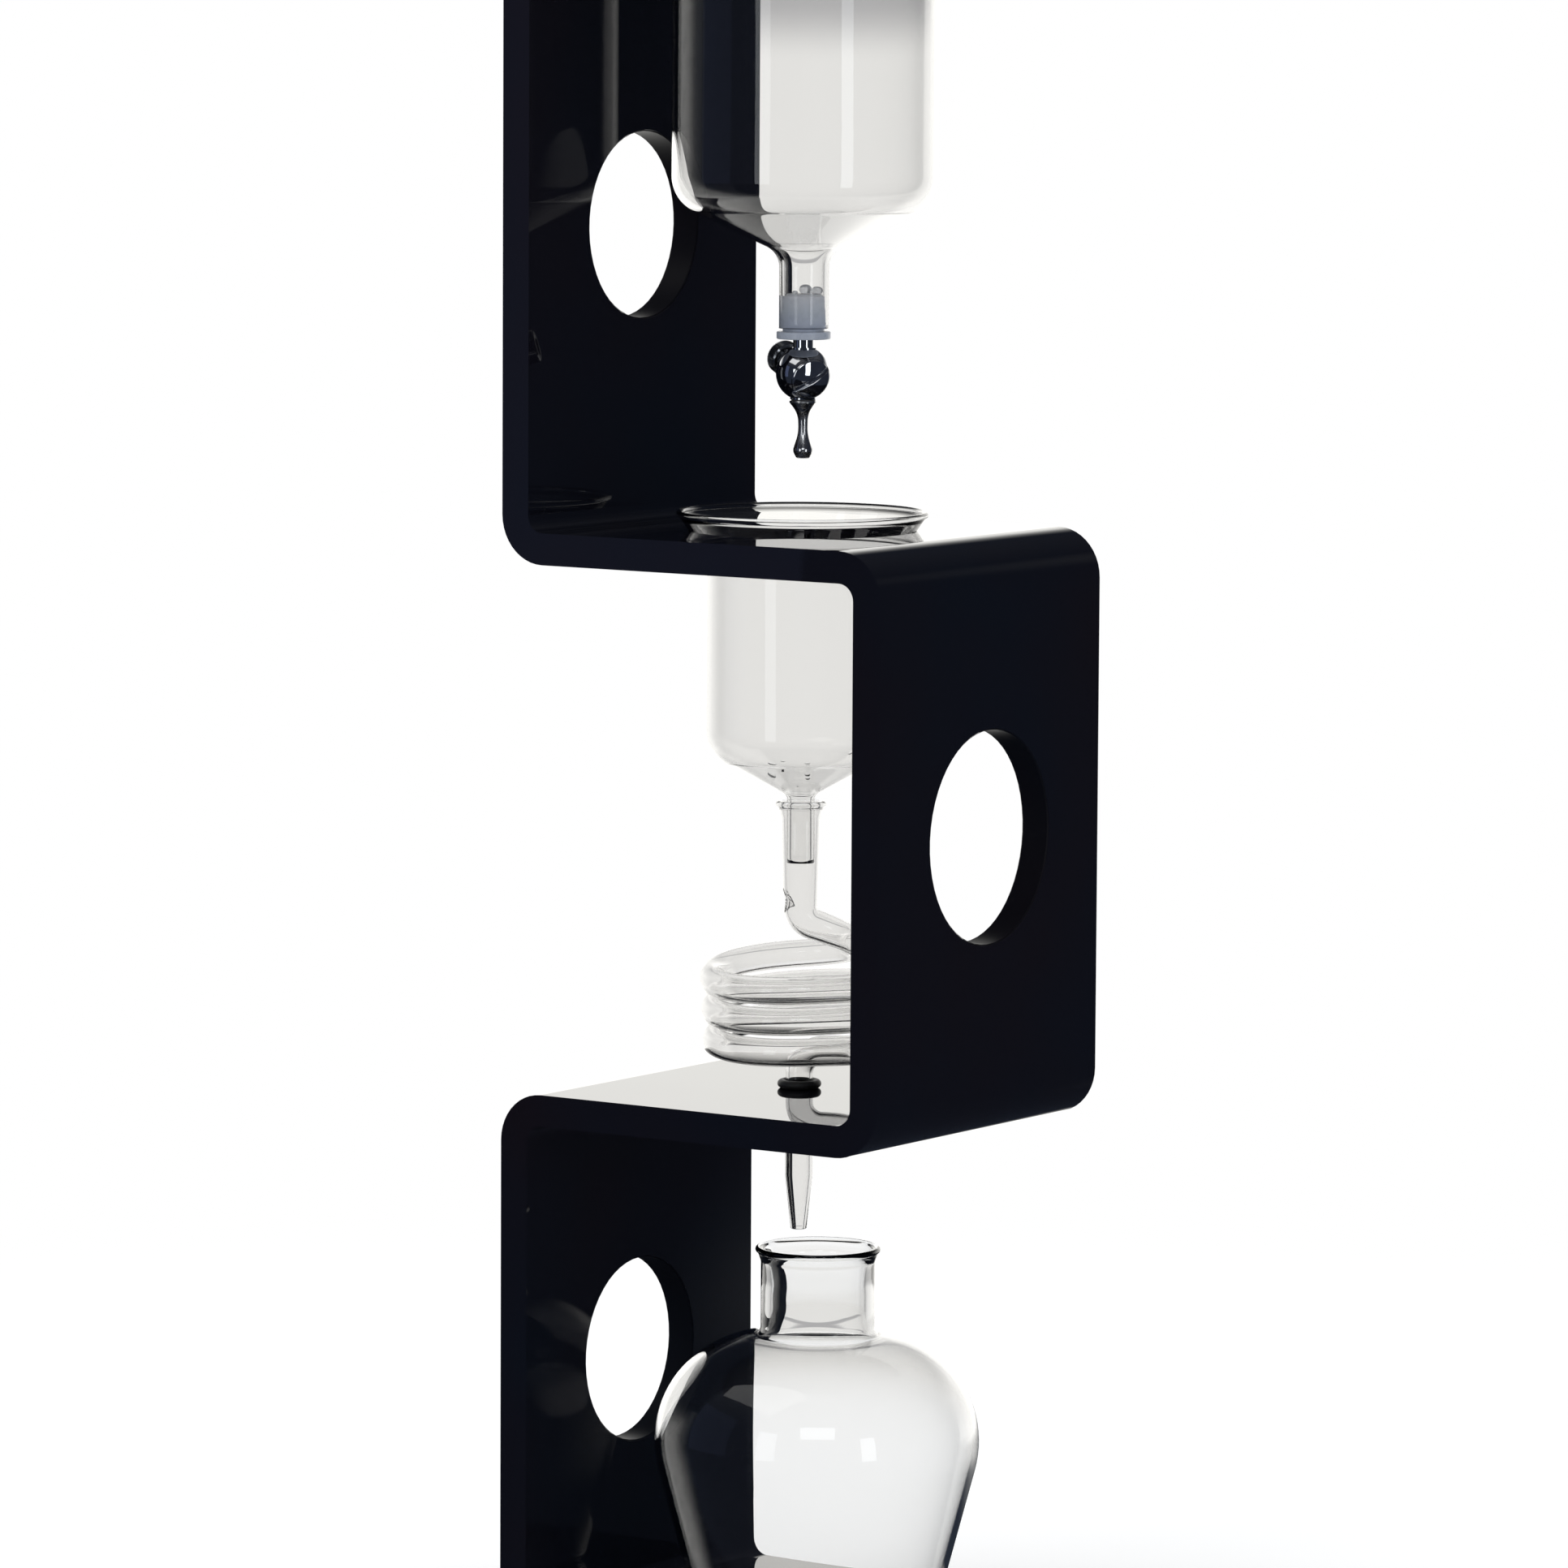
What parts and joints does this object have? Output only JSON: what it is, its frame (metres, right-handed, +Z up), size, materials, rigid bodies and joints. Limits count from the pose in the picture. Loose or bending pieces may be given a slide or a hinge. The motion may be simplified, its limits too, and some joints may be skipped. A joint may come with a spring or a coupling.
{
  "type": "cold drip coffee tower",
  "caption": "Slow drip coffee tower: folded black acrylic stand carrying a glass water vessel with a metal drip valve, a coffee chamber, a glass spiral and a decanter.",
  "frame": {"origin": "on the ground under the centre of the stand's base", "axes": "+X along the shelves from the left uprights towards the right upright, +Y across the sheet away from the picture's viewer, +Z up along the drip axis"},
  "size_m": [0.171, 0.15, 0.6931],
  "materials": {
    "acrylic": "glossy black acrylic with a slight navy tint",
    "foot_rubber": "matt black rubber",
    "vessel_glass": "clear borosilicate glass",
    "lid_plastic": "glossy black acrylic",
    "polished_metal": "polished chrome",
    "stopper_silicone": "grey translucent silicone, matt",
    "plug_metal": "machined brass",
    "seal_rubber": "black rubber",
    "spring_metal": "drawn steel wire",
    "spiral_glass": "clear borosilicate glass tube"
  },
  "bodies": {
    "stand": {"stand": "acrylic", "feet": "foot_rubber"},
    "water_vessel": {"water_vessel": "vessel_glass", "stopper": "stopper_silicone", "inlet_stem": "polished_metal", "valve_body": "polished_metal", "plug_screw": "polished_metal", "plug_spring": "spring_metal", "spout_seal": "seal_rubber", "spout": "polished_metal"},
    "lid": {"lid": "lid_plastic", "lid_knob": "polished_metal", "lid_screw": "spring_metal"},
    "valve_key": {"valve_plug": "plug_metal", "plug_seals": "seal_rubber", "plug_washer": "spring_metal", "thumb_wheel": "polished_metal", "wheel_pin": "spring_metal"},
    "coffee_chamber": {"coffee_chamber": "vessel_glass"},
    "glass_spiral": {"glass_spiral": "spiral_glass", "outlet_ring": "seal_rubber"},
    "decanter": {"decanter": "vessel_glass"}
  },
  "joints": [
    {"name": "vessel_lift", "type": "slide", "parent": "stand", "child": "water_vessel", "axis": [0, 0, 1], "range_m": [0, 0.22]},
    {"name": "lid_lift", "type": "slide", "parent": "water_vessel", "child": "lid", "axis": [0, 0, 1], "range_m": [0, 0.05]},
    {"name": "valve_turn", "type": "hinge", "parent": "water_vessel", "child": "valve_key", "pos_m": [0, 0, 0.4867], "axis": [-0.8283, 0.484, 0.2823], "range_deg": [-90, 90]},
    {"name": "chamber_lift", "type": "slide", "parent": "stand", "child": "coffee_chamber", "axis": [0, 0, 1], "range_m": [0, 0.105]},
    {"name": "spiral_swivel", "type": "hinge", "parent": "stand", "child": "glass_spiral", "pos_m": [0, 0, 0.3], "axis": [0, 0, 1], "continuous": true},
    {"name": "decanter_slide", "type": "slide", "parent": "stand", "child": "decanter", "axis": [0, -1, 0], "range_m": [0, 0.14]}
  ]
}
